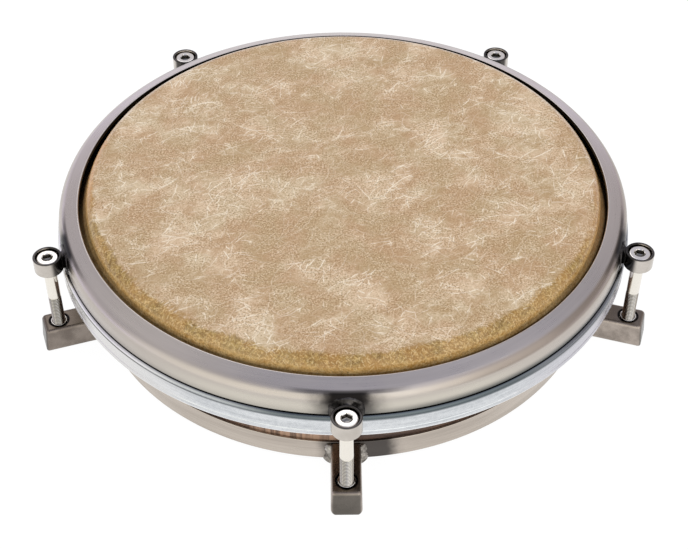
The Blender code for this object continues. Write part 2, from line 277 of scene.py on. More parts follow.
def eyelet_shell():
    """A cup about the bolt's axis: a round wall with a holed floor, all its edges broken."""
    hole, bottom, floor, top = 4.4, -24.2, -21.8, -13.5
    corners = [(hole, bottom), (CUP_OUTSIDE, bottom), (CUP_OUTSIDE, top)]
    corners += [(CUP_INSIDE, top), (CUP_INSIDE, floor), (hole, floor)]
    return turned(rounded(corners, [0.4, 1.0, 0.8, 0.5, 0.5, 0.4]), 96)


def eyelet_weld_shell(seed):
    """Weld metal that runs a cup into the rim, as depths over a grid of places across and heights.

    Two distances are blended at each point out from the rim, the one to the rim's own surface and the
    one to the cup, with a polynomial smooth minimum. The surface lies where the blend first turns
    positive, raised a little inside an arch and sunk into the rim outside it, and goes no further out
    than the middle of the cup's wall. Its back lies inside the rim.
    """
    furthest = 10.5
    sunk, back_depth, raised = 0.4, 1.6, 0.95
    cup_top, cup_round = -14.2, 3
    arch_half, arch_low, arch_rise = 10.7, -17.5, 6.7
    cup_middle = (CUP_OUTSIDE + CUP_INSIDE) / 2
    across = np.linspace(-14, 14, 85)[None, :, None]
    height = np.linspace(-23.4, -9.8, 61)[:, None, None]
    up_shoulder = np.clip(height - SHOULDER_LOW, 0, None)
    wall = RIM_OUTSIDE - SHOULDER_ROUND + np.sqrt(SHOULDER_ROUND**2 - up_shoulder**2)
    out = np.linspace(-0.6, furthest, 260)[None, None]
    from_axis = np.hypot(across, BOLT_CIRCLE - (wall + out)) - CUP_OUTSIDE
    over = np.clip(height - cup_top, 0, None)
    to_cup = np.hypot(np.clip(from_axis, -cup_round, None) + cup_round, over) - cup_round
    to_rim = out * np.cos(np.arcsin(np.clip(up_shoulder / SHOULDER_ROUND, 0, 1)))
    uneven = waves(across * 0.5, height * 0.6, seed)
    soft = 3.0 * (1 + 0.12 * uneven)
    share = np.clip(0.5 + 0.5 * (to_cup - to_rim) / soft, 0, 1)
    blend = to_cup * (1 - share) + to_rim * share - soft * share * (1 - share)
    depth = np.where((blend > 0).any(axis=2), out[0, 0, np.argmax(blend > 0, axis=2)], furthest)
    arch = 1 - np.abs(across / arch_half) ** 2.6 - np.clip((height - arch_low) / arch_rise, 0, None) ** 2
    inside = np.clip((arch + 0.09 * uneven) / 0.30, 0, 1)[..., 0]
    inside = inside * inside * (3 - 2 * inside)
    front = wall[..., 0] - sunk + (depth + raised + 0.15 * uneven[..., 0]) * inside
    middle = BOLT_CIRCLE - np.sqrt(np.clip(cup_middle**2 - across**2, 0, None))
    front = np.minimum(front, np.where(np.abs(across) < cup_middle, middle, np.inf)[..., 0])
    back = np.broadcast_to(wall[..., 0] - back_depth, front.shape)
    x = np.broadcast_to(across[..., 0], front.shape)
    x = np.concatenate([x, x[:, ::-1]], axis=1)
    radius = np.concatenate([front, back[:, ::-1]], axis=1)
    y = -np.sqrt(radius**2 - x**2)
    return skin(np.stack([x, y, height[..., 0] + 0 * x], axis=-1), "flat", "flat")


def bolt_shell():
    """A socket cap screw about its own axis, as one grid of radii over angle and height.

    A row is a radius, a height and a share. Its radius is a circle, or by the share the hexagon's
    apothem over the cosine of the angle from the middle of a side. On the thread it drops by a rounded
    wave of the height less the angle's share of the pitch, which is a right-hand helix.
    """
    thread_end, thread_depth = -79.9, 0.72
    angle = np.linspace(0, math.tau, 72, endpoint=False)[None]
    hexagon = 1 / np.cos((angle + math.pi / 6) % (math.pi / 3) - math.pi / 6)
    socket = [(0.9, -18.75, 0), (2.0, -18.45, 0.3), (2.85, -18.2, 1), (3.0, -18.05, 1), (3.0, -17.9, 1)]
    socket += [(3.0, -15.1, 1), (3.0, -14.98, 1), (3.55, -14.66, 0.1), (3.62, -14.6, 0), (3.75, -14.6, 0)]
    chamfer = np.linspace(0, math.pi / 2, 6)
    crown = np.stack([5.75 + 0.75 * np.sin(chamfer), -15.35 + 0.75 * np.cos(chamfer), 0 * chamfer], axis=1)
    head = [(5.6, -14.6, 0), *crown, (6.5, -15.5, 0), (6.5, -20.7, 0), (6.4, -20.95, 0), (6.2, -21.1, 0)]
    shank = [(4.4, -21.1, 0), (4.12, -21.2, 0), (4.0, -21.5, 0), (4.0, -21.7, 0)]
    shank += [(4.0, -45.7, 0), (4.0, -46.0, 0)]
    thread_height = np.arange(THREAD_TOP, thread_end, -THREAD_PITCH / 12)
    thread = np.stack([np.full_like(thread_height, 4.0), thread_height, 0 * thread_height], axis=1)
    tip = [(3.3, -80.1, 0), (2.9, -80.7, 0), (2.6, -81.0, 0), (2.3, -81.1, 0), (0.8, -81.1, 0)]
    rows = np.array([*socket, *head, *shank, *thread, *tip])
    radius, height, six_sided = rows.T[..., None]
    size = radius * (1 + six_sided * (hexagon - 1))
    phase = math.tau * height / THREAD_PITCH - angle
    cut = np.clip((THREAD_TOP - 0.2 - height) / 0.6, 0, 1) * (height > thread_end - 0.1)
    size = size - thread_depth * cut * (0.5 + 0.5 * np.cos(phase)) ** 0.7
    x = size * np.cos(angle)
    y = size * np.sin(angle)
    points = np.stack([x, y, height + 0 * x], axis=-1)
    return skin(points[::-1], "point", "point")


# Shell, band, lugs and nuts


def wood_shell():
    """The shell's section: an upright wall, round over the bearing edge and bevelled inside it."""
    outside, bottom, top = 160.4, -82, -0.8
    bevel_top, bevel_bottom = (153.0, top), (SHELL_INSIDE, -4.4)
    corners = [(SHELL_INSIDE, bottom), (outside, bottom), (outside, top), bevel_top, bevel_bottom]
    return turned(rounded(corners, [0.8, 0.9, 5.8, 0.8, 1.5]), 360)


def band_shell():
    """The band's section: a flat strip with broken edges."""
    inside, bottom, top = 160.7, -82.2, -67.8
    corners = [(inside, bottom), (BAND_OUTSIDE, bottom), (BAND_OUTSIDE, top), (inside, top)]
    return turned(rounded(corners, [0.2, 0.6, 0.6, 0.2]), 360)


def block_shell(half, front, top, bottom, fold, foot_round):
    """A block on the -Y side that leans out and widens towards its foot, with round folds.

    Its plan is a rectangle with round corners, carried from the foot up. Near the top its sides and
    front are drawn in by a quarter circle, and near the foot the sides are, with the corners' rounds cut
    to suit. Its back lies inside the band.
    """
    back = -150.0
    turn = np.linspace(0, math.pi / 2, 9)
    low = bottom + foot_round * (1 - np.cos(turn))
    low_in = foot_round * (1 - np.sin(turn))
    high = top - fold * (1 - np.sin(turn))
    high_in = fold * (1 - np.cos(turn))
    height = np.concatenate([low, [low[-1] + 0.15, high[0] - 0.15], high])[:, None]
    sides_in = np.concatenate([low_in, [0, 0], high_in])
    front_in = np.concatenate([0.25 * low_in, [0, 0], high_in])
    plans = []
    for inset, ahead in zip(sides_in, front_in):
        right, near = half - inset, ahead - front
        corners = [(right, near), (right, back), (-right, back), (-right, near)]
        plans.append(rounded(corners, [fold + 0.25 - max(inset, ahead)] * 4, steps=8))
    x, y = np.moveaxis(np.array(plans), -1, 0)
    drop = LUG_TOP - height
    points = np.stack([x * (1 + LUG_WIDENING * drop), y - LUG_LEAN * drop, height + 0 * x], axis=-1)
    return skin(points, "flat", "flat")


def drill_shell(section, steps=72):
    """A solid turned from (radius, height) points, bottom first, to cut with."""
    return turned(section, steps, "flat", "flat")


def box_shell(low, high):
    """A box between two opposite corners."""
    plan = [(low[0], low[1]), (high[0], low[1]), (high[0], high[1]), (low[0], high[1])]
    return skin([[(x, y, z) for x, y in plan] for z in (low[2], high[2])], "flat", "flat")


def bracket_shell():
    """The lug: a folded block, hollowed from below, seated round the band and drilled for the nut.

    The foot is cut back behind the front plate, which alone reaches the floor.
    """
    half, front, fold = 8.7, 199.8, 2.4
    below = FLOOR_HEIGHT - 2.4
    folded = block_shell(half, front, LUG_TOP, FLOOR_HEIGHT, fold, fold)
    hollow = block_shell(half - LUG_SHEET, front - LUG_SHEET, LUG_TOP - LUG_SHEET, below, 0.8, 0.1)
    relief = box_shell((-12.0, -198.8, below), (12.0, -150.0, FLOOR_HEIGHT + 1.0))
    seat = drill_shell([(BAND_OUTSIDE + 0.5, -90.0), (BAND_OUTSIDE + 0.5, -60.0)], 720)
    hole = drill_shell([(5.7, -74.0), (5.7, -68.65), (6.05, LUG_TOP), (6.4, -67.9)])
    blank = add_object("blank", mesh_of("blank", [folded]))
    tools = []
    for shell in (hollow, relief, seat, round_the_drum(hole, 1, BOLT_CIRCLE)):
        tools.append(add_object("tool", mesh_of("tool", [shell])))
        blank.modifiers.new("cut", "BOOLEAN").object = tools[-1]
    bpy.context.view_layer.update()
    carved = bpy.data.meshes.new_from_object(blank.evaluated_get(bpy.context.evaluated_depsgraph_get()))
    found = np.empty(len(carved.vertices) * 3)
    carved.vertices.foreach_get("co", found)
    polygons = [np.array([face.vertices[:]]) for face in carved.polygons]
    for used in [blank, *tools]:
        bpy.data.objects.remove(used)
    return found.reshape(-1, 3) / MM, polygons


def nut_shell():
    """A square nut with a round collar, about the bolt's axis, as one closed section carried round.

    A row is a radius, a height and a share. Its radius is a circle, or by the share a square with soft
    corners: the apothem over the tenth root of the tenth powers of sine and cosine, added.
    """
    angle = np.linspace(0, math.tau, 80, endpoint=False)[None]
    square = (np.abs(np.cos(angle)) ** 10 + np.abs(np.sin(angle)) ** 10) ** -0.1
    collar = [(4.2, -78.8, 0), (4.2, -68.6, 0), (4.3, -68.3, 0), (4.5, -68.1, 0), (4.85, -68.1, 0)]
    collar += [(5.05, -68.25, 0), (5.1, -68.5, 0), (5.1, -71.05, 0), (5.15, -71.1, 0)]
    block = [(5.4, -71.1, 1), (5.7, -71.25, 1), (5.8, -71.6, 1), (5.8, -78.6, 1), (5.7, -78.95, 1)]
    block += [(5.4, -79.1, 1), (4.7, -79.1, 0), (4.35, -79.0, 0)]
    rows = np.array(collar + block)[::-1]
    radius, height, four_sided = rows.T[..., None]
    size = radius * (1 + four_sided * (square - 1))
    x = size * np.cos(angle)
    y = size * np.sin(angle)
    return skin(np.stack([x, y, height + 0 * x], axis=-1))


def bead_shell(side, seed):
    """A weld fillet down one corner between a lug and the band.

    Its section is drawn about the corner as a curve of powers 1.3, long to the outside along the band
    and along the lug and short into the metal. It swells and shrinks with the ripples of the weld, grows
    towards the foot and closes at both ends.
    """
    power = 1.3
    along_band, along_lug, into_metal = 3.9, 3.4, 0.8
    top, length = -68.9, 14.9
    share = np.linspace(0, 1, 65)[:, None]
    angle = np.linspace(0, math.tau, 40, endpoint=False)[None]
    along, out = np.cos(angle), np.sin(angle)
    reach = (np.abs(along) ** power + np.abs(out) ** power) ** (-1 / power)
    ends = np.clip(1.02 - np.abs(2 * share - 1) ** 8, 0.03, 1) ** 0.5
    ripple = 1 + 0.07 * np.sin(share * 42 + 0.9 * along) + 0.15 * waves(share * 9, along, seed)
    size = reach * ends * ripple * (0.92 + 0.25 * share**3)
    corner = 8.5 + 0.3 * share
    x = corner + size * along * np.where(along > 0, along_band, into_metal)
    rise = size * out * np.where(out > 0, along_lug, into_metal)
    y = -np.sqrt(BAND_OUTSIDE**2 - x**2) - rise
    z = top - length * share
    points = np.stack([side * x, y, z + 0 * x], axis=-1)
    return skin(points if side < 0 else points[::-1], "point", "point")


# Finishes


class Graph:
    """A node tree whose nodes are added call by call."""

    def __init__(self, tree, place):
        self.tree = tree
        self.place = self.add("TexCoord", output=place)

    def join(self, socket, value):
        """Links a value that comes from a node, and sets any other on the socket itself."""
        if isinstance(value, bpy.types.NodeSocket):
            self.tree.links.new(value, socket)
        else:
            socket.default_value = value

    def add(self, kind, inputs=None, output=0, **settings):
        """A new node with its settings and inputs, as the one of its outputs that is asked for."""
        node = self.tree.nodes.new("ShaderNode" + kind)
        for key, value in settings.items():
            setattr(node, key, value)
        for key, value in (inputs or {}).items():
            self.join(node.inputs[key], value)
        return node.outputs[output]

    def math(self, operation, first, second=0.0):
        return self.add("Math", {0: first, 1: second}, operation=operation)

    def times(self, *factors):
        product = factors[0]
        for factor in factors[1:]:
            product = self.math("MULTIPLY", product, factor)
        return product

    def span(self, value, low, high, to_low=0.0, to_high=1.0):
        """The value's way from low to high, eased, as a number between two others."""
        inputs = {0: value, 1: low, 2: high, 3: to_low, 4: to_high}
        return self.add("MapRange", inputs, interpolation_type="SMOOTHSTEP")

    def line(self, value, low, high, to_low=0.0, to_high=1.0):
        """The value's way from low to high, straight, as a number between two others."""
        return self.add("MapRange", {0: value, 1: low, 2: high, 3: to_low, 4: to_high})

    def belt(self, value, start, full, fading, end):
        """One from full to fading, eased to nothing at the start and at the end."""
        return self.times(self.span(value, start, full), self.span(value, end, fading))

    def mix(self, share, first, second):
        """The first colour, with a share of the second."""
        inputs = {0: share, 6: first, 7: second}
        return self.add("Mix", inputs, output=2, data_type="RGBA")

    def parts(self, value):
        """The three numbers of a vector or a colour."""
        kind = "SeparateColor" if value.type == "RGBA" else "SeparateXYZ"
        return [self.add(kind, {0: value}, output=i) for i in range(3)]


class Finish(Graph):
    """A material on a piece's own coordinates, that ends in its shader."""

    def __init__(self, name):
        self.material = bpy.data.materials.new(name)
        self.material.use_nodes = True
        super().__init__(self.material.node_tree, "Object")
        self.shader = self.tree.nodes["Principled BSDF"]

    def noise(self, scale, detail=3.0, roughness=0.5, where=None, distortion=0.0):
        inputs = {"Vector": where or self.place, "Scale": scale, "Detail": detail}
        inputs.update({"Roughness": roughness, "Distortion": distortion})
        return self.add("TexNoise", inputs)

    def bump(self, height, strength, distance):
        return self.add("Bump", {"Strength": strength, "Distance": distance, "Height": height})

    def shade(self, **values):
        """Puts values into the shader's sockets of those names, and gives the material."""
        for key, value in values.items():
            self.join(self.shader.inputs[key.replace("_", " ").title().replace("Ior", "IOR")], value)
        return self.material

    def polar(self):
        """Radius, height and direction from the drum's axis."""
        x, y, z = self.parts(self.place)
        flat = self.add("CombineXYZ", {0: x, 1: y})
        radius = self.add("VectorMath", {0: flat}, output="Value", operation="LENGTH")
        return radius, z, self.add("VectorMath", {0: flat}, operation="NORMALIZE")

    def outwards(self, direction):
        """How far the surface faces away from the drum's axis: the normal's part along the direction."""
        normal = self.add("NewGeometry", output="Normal")
        return self.add("VectorMath", {0: normal, 1: direction}, output="Value", operation="DOT_PRODUCT")

    def upwards(self):
        """How far the surface faces up: the normal's part along Z."""
        return self.parts(self.add("NewGeometry", output="Normal"))[2]

    def round_noise(self, turns, fine, detail=3.0, roughness=0.6):
        """Noise that is long round the drum and short across it, from the direction times turns and from
        the height and the radius times fine."""
        radius, height, direction = self.polar()
        x, y, _ = self.parts(self.add("VectorMath", {0: direction, 3: turns}, operation="SCALE"))
        vector = self.add("CombineXYZ", {0: x, 1: y, 2: self.math("MULTIPLY", height, fine)})
        inputs = {"Vector": vector, "W": self.math("MULTIPLY", radius, fine), "Scale": 1.0}
        inputs.update({"Detail": detail, "Roughness": roughness})
        return self.add("TexNoise", inputs, noise_dimensions="4D")

    def from_lug(self, aside=0.0):
        """Distance round the drum from the nearest lug, or from a place an angle to the right of it: the
        angle, folded at half a lug's share, times the radius."""
        x, y, _ = self.parts(self.place)
        angle = self.math("ADD", self.math("ARCTAN2", y, x), 2.5 * math.pi - aside)
        radius, _, _ = self.polar()
        return self.math("MULTIPLY", self.math("PINGPONG", angle, math.pi / LUG_COUNT), radius)

    def from_weld(self, aside=0.0):
        """Distance from the nearest lug as above, made uneven by noise, for the painted dark reflections
        beside the cups and lugs.
        """
        uneven = self.times(self.math("SUBTRACT", self.noise(70, 4, 0.6), 0.5), 0.012)
        return self.math("ADD", self.from_lug(aside), uneven)

    def from_bolt(self):
        """Distance from the nearest bolt's axis: the way round the drum and the way out from the bolt
        circle, squared, added and rooted."""
        radius, _, _ = self.polar()
        beyond = self.math("SUBTRACT", radius, BOLT_CIRCLE * MM)
        away = self.add("CombineXYZ", {0: self.from_lug(), 1: beyond})
        return self.add("VectorMath", {0: away}, output="Value", operation="LENGTH")

    def hairs(self, where, cell, width, angle, spread, kept, place):
        """Curved hairs, one in each of a share of the cells of a plane.

        A point's way from its cell's middle is split along and across a direction of the cell's own,
        within a spread about an angle. The hair lies where the way across, less a curve that grows with
        the square of the way along, is small. Each cell draws its direction, its curve and its strength
        from its own colour.
        """
        mapping = {"Vector": where, "Location": (place, 0.7 * place, 0), "Scale": (cell, cell, 1.0)}
        cells = self.add("Mapping", mapping, vector_type="TEXTURE")
        found = self.add("TexVoronoi", {"Vector": cells, "Scale": 1.0}, voronoi_dimensions="2D").node
        away = self.add("VectorMath", {0: cells, 1: found.outputs["Position"]}, operation="SUBTRACT")
        turn, bend, chance = self.parts(found.outputs["Color"])
        spin = self.line(turn, 0.0, 1.0, math.radians(angle - spread / 2), math.radians(angle + spread / 2))
        x, y, _ = self.parts(away)
        cos, sin = self.math("COSINE", spin), self.math("SINE", spin)
        along = self.math("ADD", self.times(x, cos), self.times(y, sin))
        across = self.math("SUBTRACT", self.times(y, cos), self.times(x, sin))
        curve = self.times(self.line(bend, 0.0, 1.0, -0.6, 0.6), along, along)
        across = self.math("ABSOLUTE", self.math("SUBTRACT", across, curve))
        body = self.span(across, 0.25 * width / cell, 0.75 * width / cell, 1.0, 0.0)
        ends = self.span(self.math("ABSOLUTE", along), 0.28, 0.52, 1.0, 0.0)
        return self.times(body, ends, self.line(chance, 1 - kept, 1.0))

    def fibres(self, where, layers, width, kept, shift):
        """Hairs in layers over each other, each layer of its own cell in millimetres, angle and spread."""
        found = 0.0
        for number, (cell, angle, spread) in enumerate(layers):
            layer = self.hairs(where, cell * MM, width, angle, spread, kept, shift * number)
            found = self.math("MAXIMUM", layer, found)
        return found


def colour(red, green, blue):
    return (red, green, blue, 1.0)


def film_ground(f):
    """The film's tan ground with pale clouds drawn out on a slant: its colour, and how pale it is."""
    slant = {"Vector": f.place, "Rotation": (0, 0, math.radians(34)), "Scale": (1.25, 1.0, 1.0)}
    drawn = f.add("Mapping", slant, vector_type="TEXTURE")
    clouds = f.noise(27, 8, 0.66, drawn, 0.5)
    wisps = f.noise(150, 5, 0.7, drawn, 0.4)
    tints = f.noise(38, 3, 0.5)
    pale = f.span(f.math("ADD", f.times(clouds, 0.66), f.times(wisps, 0.34)), 0.43, 0.62)
    tan = f.mix(f.span(tints, 0.38, 0.62), colour(0.468, 0.312, 0.146), colour(0.495, 0.306, 0.150))
    cloud = f.mix(f.span(tints, 0.40, 0.6), colour(0.688, 0.548, 0.350), colour(0.732, 0.549, 0.352))
    return f.mix(f.times(pale, 0.95), tan, cloud), pale


def film_fibres(f, pale):
    """The film's fibres on a warped plane: long ones that gather in places, and fluff in pale clouds."""
    warp = f.add("TexNoise", {"Vector": f.place, "Scale": 75.0, "Detail": 3.0}, output="Color")
    warp = f.add("VectorMath", {0: warp, 1: (0.5, 0.5, 0.5)}, operation="SUBTRACT")
    warp = f.add("VectorMath", {0: warp, 3: 0.0034}, operation="SCALE")
    bent = f.add("VectorMath", {0: f.place, 1: warp}, operation="ADD")
    layers = ((36, 24, 60), (33, 38, 60), (30, 16, 80), (27, 46, 90), (24, 30, 90), (21.5, 22, 120))
    layers += ((19, 70, 180), (16.5, 34, 120), (14, 28, 160), (12, 90, 180), (10, 34, 160))
    layers += ((8, 60, 180), (6.5, 30, 180))
    short_layers = ((5.0, 30, 180), (4.2, 30, 180))
    long_ones = f.fibres(bent, layers, width=0.00062, kept=0.75, shift=0.31)
    fluff = f.fibres(bent, short_layers, width=0.00058, kept=0.9, shift=0.23)
    gather = f.span(f.math("ADD", f.times(f.noise(42, 5, 0.65), 0.6), f.times(pale, 0.2)), 0.32, 0.48)
    long_ones = f.times(long_ones, f.span(gather, 0.0, 1.0, 0.27, 0.96))
    return long_ones, f.times(fluff, f.span(pale, 0.1, 0.8, 0.2, 1.0))


def film_gold(f, drop, facing, x, pale, strokes):
    """Colour of the film's edge: gold in specks and patches, with painted light that lightens it deep down
    the collar and turns it a light orange-brown at the sides, paler at the left, and pale strokes."""
    speck = f.span(f.noise(420, 4, 0.7), 0.36, 0.64)
    patches = f.span(f.noise(70, 3, 0.5), 0.4, 0.62)
    # Painted light: the gold is lightened deep down the collar, against the shade in the gap.
    deep = f.span(drop, 0.0085, 0.0165)
    dark_gold = f.mix(deep, colour(0.150, 0.083, 0.012), colour(0.64, 0.33, 0.08))
    light_gold = f.mix(deep, colour(0.37, 0.236, 0.060), colour(0.98, 0.65, 0.27))
    gold = f.mix(speck, dark_gold, light_gold)
    gold = f.mix(f.times(patches, 0.6), gold, colour(0.42, 0.205, 0.05))
    gold = f.mix(f.times(pale, 0.25), gold, colour(0.58, 0.42, 0.18))
    # Painted light: a light orange-brown at the sides of the drum stands in for light on the shaded collar
    # there, paler at the left than at the right.
    side_brown_painted_light = f.mix(speck, colour(0.98, 0.47, 0.155), colour(1.0, 0.63, 0.26))
    painted_light_left = f.mix(f.span(x, -0.5, 0.5), colour(0.585, 0.30, 0.105), colour(0.44, 0.235, 0.085))
    side_brown_painted_light = f.mix(f.span(drop, 0.0095, 0.0160), painted_light_left, side_brown_painted_light)
    front_or_back = f.span(f.math("ABSOLUTE", facing), 0.05, 0.70)
    gold = f.mix(f.span(front_or_back, 0.0, 0.6, 0.95, 0.0), gold, side_brown_painted_light)
    return f.mix(f.times(strokes, 0.5), gold, colour(0.85, 0.66, 0.34))


def film_finish():
    """Fibre-filled film: ground, fibres, a ragged golden edge over the bearing edge, and grain over all.

    Drop is how far a point lies past the flat, out and down. Facing runs from 1 in front to -1 behind.
    The film is matt on the flat and glossy on the bend, with painted shade that turns it black deep in the
    gap behind the rim.
    """
    f = Finish("film")
    base, pale = film_ground(f)
    fibre, fluff = film_fibres(f, pale)
    base = f.mix(f.times(fluff, 0.58), base, colour(0.90, 0.745, 0.51))
    base = f.mix(fibre, base, colour(1.0, 0.90, 0.71))

    radius, height, direction = f.polar()
    x, y, _ = f.parts(direction)
    facing = f.math("ADD", f.times(y, -0.99), f.times(x, -0.14))
    drop = f.math("SUBTRACT", f.math("SUBTRACT", radius, FLAT_RADIUS * MM), height)
    round_edge = f.times(f.math("ARCTAN2", x, f.times(y, -1.0)), (FLAT_RADIUS + 3.4) * MM)
    unrolled = f.add("CombineXYZ", {0: round_edge, 1: drop})
    layers = ((4.6, 90, 110), (3.8, 90, 110), (3.2, 90, 110))
    strokes = f.fibres(unrolled, layers, width=0.0007, kept=0.8, shift=0.19)
    ragged = f.times(f.math("SUBTRACT", f.noise(55, 6, 0.75), 0.5), 0.022)
    fringe = f.times(f.math("MAXIMUM", fibre, strokes), -0.0025)
    # Partly painted sheen: the gold is the film's own, but it begins higher on the bend in front and far
    # lower behind, leaving the bend behind pale as a stand-in for sheen.
    wider = f.span(facing, 0.05, 0.70, 0.0, 0.0040)
    begin = f.math("ADD", f.span(facing, -0.45, -0.10, -0.0090, -0.0030), wider)
    reach = f.math("ADD", f.math("ADD", drop, begin), f.math("ADD", ragged, fringe))
    golden = f.span(reach, -0.0006, 0.0040)
    base = f.mix(f.times(golden, 0.93), base, film_gold(f, drop, facing, x, pale, strokes))

    grain = f.noise(900, 3, 0.8)
    rough = f.span(f.noise(60, 4, 0.6), 0.36, 0.56, 0.35, 1.0)
    rough = f.times(rough, f.line(golden, 0.0, 1.0, 1.0, 0.75))
    pits = f.times(f.span(grain, 0.365, 0.50, 0.93, 0.0), rough)
    base = f.mix(pits, base, colour(0.30, 0.175, 0.062))
    crests = f.times(f.span(grain, 0.50, 0.635, 0.0, 0.79), rough)
    base = f.mix(crests, base, f.mix(golden, colour(0.84, 0.68, 0.45), colour(0.82, 0.58, 0.26)))

    # Painted shade: black deep in the gap behind the rim, lighter in front except towards the right.
    top = f.line(facing, 0.0, 1.0, -0.0132, -0.0085)
    bottom = f.line(facing, 0.0, 1.0, -0.0156, -0.0096)
    share = f.span(facing, 0.1, 0.5, 0.97, f.span(x, 0.2, 0.7, 0.55, 0.92))
    black = f.times(f.span(height, top, bottom), share)
    base = f.mix(black, base, colour(0.014, 0.008, 0.004))
    roughness = f.line(f.span(drop, 0.0, 0.003), 0.0, 1.0, 0.4, 0.18)
    relief = f.bump(grain, 0.2, 0.0002)
    return f.shade(base_color=base, roughness=roughness, specular_ior_level=0.3, normal=relief)


def brushed(f, dark, light, rough):
    """Metal brushed round the drum: its colour, its roughness and its fine relief, all in streaks."""
    streak = f.round_noise(6.0, 1800.0)
    broad = f.round_noise(2.5, 160.0, 2.0)
    smear = f.noise(26, 4, 0.6)
    blend = f.math("ADD", f.times(streak, 0.4), f.times(broad, 0.6))
    tone = f.mix(f.span(blend, 0.35, 0.65), colour(*dark), colour(*light))
    fine = f.span(streak, 0.25, 0.75, rough - 0.02, rough + 0.02)
    roughness = f.math("ADD", fine, f.span(smear, 0.4, 0.7, -0.02, 0.04))
    return tone, roughness, f.bump(streak, 0.05, 0.0001)


def darkened_by_painted_reflection(f, tone, dark_reflection):
    """A metal's colour, darkened nearly to black where a dark reflection is painted."""
    return f.mix(f.times(dark_reflection, 0.92), tone, colour(0.05, 0.044, 0.042))


def rim_finish():
    """Brushed nickel of the rim, with painted light on its wall in front and behind and painted shade on
    its right shoulder.

    Painted dark reflections of the cups and their welds lie beside each cup and as a dark line along the
    shoulder's top, and painted near-black shade lies above each cup. Painted shade darkens the foot, more
    at the right. Under the foot and towards the drum's axis, painted shade makes it black.
    """
    f = Finish("rim_nickel")
    tone, roughness, relief = brushed(f, (0.475, 0.43, 0.39), (0.52, 0.472, 0.428), 0.29)
    _, height, direction = f.polar()
    x, y, _ = f.parts(direction)
    # Painted light: the wall is lightened in front and behind.
    front_and_back = f.span(f.math("ABSOLUTE", x), 0.35, 0.75, 0.8, 0.0)
    wall = f.times(f.span(height, -0.0120, -0.0170), front_and_back)
    tone = f.mix(wall, tone, colour(0.63, 0.59, 0.51))
    # Painted shade: the right shoulder is darkened.
    shoulder = f.times(f.belt(height, -0.0083, -0.0093, -0.0120, -0.0135), f.span(x, 0.15, 0.50))
    tone = f.mix(shoulder, tone, colour(0.35, 0.30, 0.26))

    # Painted reflections: the dark cups and welds darken the rim beside each cup and in a line along the
    # shoulder's top.
    reach = f.from_weld()
    beside = f.times(f.span(reach, 0.0085, 0.026, 1.0, 0.0), f.span(height, -0.0083, -0.0100))
    along = f.span(reach, 0.016, 0.040, 0.8, 0.0)
    line = f.times(along, f.belt(height, -0.0084, -0.0091, -0.0097, -0.0106))
    tone = darkened_by_painted_reflection(f, tone, f.math("MAXIMUM", beside, line))
    # Painted shade: near black above each cup.
    above = f.span(reach, 0.0075, 0.0165, 0.92, 0.0)
    painted_shade_above_cup = f.times(above, f.belt(height, -0.0085, -0.0098, -0.0130, -0.0185))
    tone = f.mix(painted_shade_above_cup, tone, colour(0.008, 0.007, 0.007))

    # Painted shade: the foot darkens, more at the right.
    foot = f.times(f.span(height, -0.0178, -0.0234), f.span(x, -0.1, 0.4, 0.25, 0.9))
    tone = f.mix(foot, tone, colour(0.11, 0.115, 0.11))
    # Painted shade: black under the foot, in the groove over the hoop, and on the faces towards the drum's
    # axis inside the gap.
    begin = f.line(y, -0.1, 0.5, -0.80, -0.45)
    full = f.line(y, -0.1, 0.5, -0.98, -0.75)
    inside = f.span(f.outwards(direction), begin, full)
    painted_black_shade = f.math("MAXIMUM", f.span(height, -0.0231, -0.0236), inside)
    tone = f.mix(painted_black_shade, tone, colour(0.006, 0.006, 0.006))
    return f.shade(base_color=tone, metallic=1.0, roughness=roughness, normal=relief)


def band_finish():
    """Brushed steel of the band, with painted dark reflections of each lug about it and further to the
    lug's right.
    """
    f = Finish("band_steel")
    tone, roughness, relief = brushed(f, (0.44, 0.388, 0.337), (0.55, 0.49, 0.43), 0.24)
    # Painted reflection: the band darkens about each lug and further to its right.
    tone = darkened_by_painted_reflection(f, tone, f.span(f.from_weld(aside=0.045), 0.0155, 0.0275, 1.0, 0.0))
    return f.shade(base_color=tone, metallic=1.0, roughness=roughness, normal=relief)


